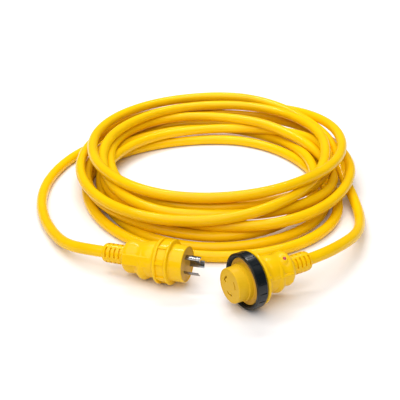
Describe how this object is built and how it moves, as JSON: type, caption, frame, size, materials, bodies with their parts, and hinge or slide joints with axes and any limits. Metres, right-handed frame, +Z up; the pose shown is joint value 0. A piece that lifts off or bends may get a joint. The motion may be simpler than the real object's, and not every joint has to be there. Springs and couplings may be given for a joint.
{
  "type": "shore power cordset",
  "caption": "Thick yellow shore power cord in a loose coil, with a twist-lock plug at one end and a female connector with a spinning lock ring at the other.",
  "frame": {"origin": "on the floor, in the middle of the box that holds the plug and the connector with its lock ring", "axes": "+Z up; the plug and the connector lie in front of the coil, towards -Y, side by side along X, the plug at -X"},
  "size_m": [0.529, 0.678, 0.0796],
  "materials": {
    "cord_jacket": "smooth glossy yellow jacket",
    "yellow_vinyl": "soft moulded yellow vinyl, satin gloss",
    "boss_yellow": "moulded yellow nylon, satin",
    "face_tan": "moulded ochre nylon, satin",
    "plated_blade": "bright nickel plate",
    "brass": "formed brass",
    "black_insulation": "black wire insulation",
    "white_insulation": "white wire insulation",
    "green_insulation": "green wire insulation",
    "red_lens": "clear red lens",
    "board": "green circuit board",
    "resistor": "lacquered resistor",
    "ring_black": "moulded black nylon, satin",
    "seal_rubber": "black rubber"
  },
  "bodies": {
    "cordset": {"cord_coil": "cord_jacket", "plug_tail": "cord_jacket", "connector_tail": "cord_jacket", "plug_body": "yellow_vinyl", "plug_strain_relief": "yellow_vinyl", "plug_face": "face_tan", "plug_blade_hot": "plated_blade", "plug_blade_neutral": "plated_blade", "plug_blade_ground": "plated_blade", "plug_crimps": "brass", "plug_conductor_black": "black_insulation", "plug_conductor_white": "white_insulation", "plug_conductor_green": "green_insulation", "connector_body": "yellow_vinyl", "connector_strain_relief": "yellow_vinyl", "connector_boss": "boss_yellow", "connector_face": "boss_yellow", "connector_mount_disc": "face_tan", "connector_contact_hot": "brass", "connector_contact_neutral": "brass", "connector_contact_ground": "brass", "connector_crimps": "brass", "connector_conductor_black": "black_insulation", "connector_conductor_white": "white_insulation", "connector_conductor_green": "green_insulation", "led_lens": "red_lens", "led_board": "board", "led_resistor": "resistor"},
    "ring_carrier": {"ring_seal": "seal_rubber"},
    "ring": {"lock_ring": "ring_black"}
  },
  "joints": [
    {"name": "ring_slide", "type": "slide", "parent": "cordset", "child": "ring_carrier", "axis": [-0.8572, -0.515, 0], "range_m": [-0.0022, 0.0043]},
    {"name": "ring_spin", "type": "hinge", "parent": "ring_carrier", "child": "ring", "pos_m": [0.05563, -0.03392, 0.0398], "axis": [-0.8572, -0.515, 0], "continuous": true}
  ]
}
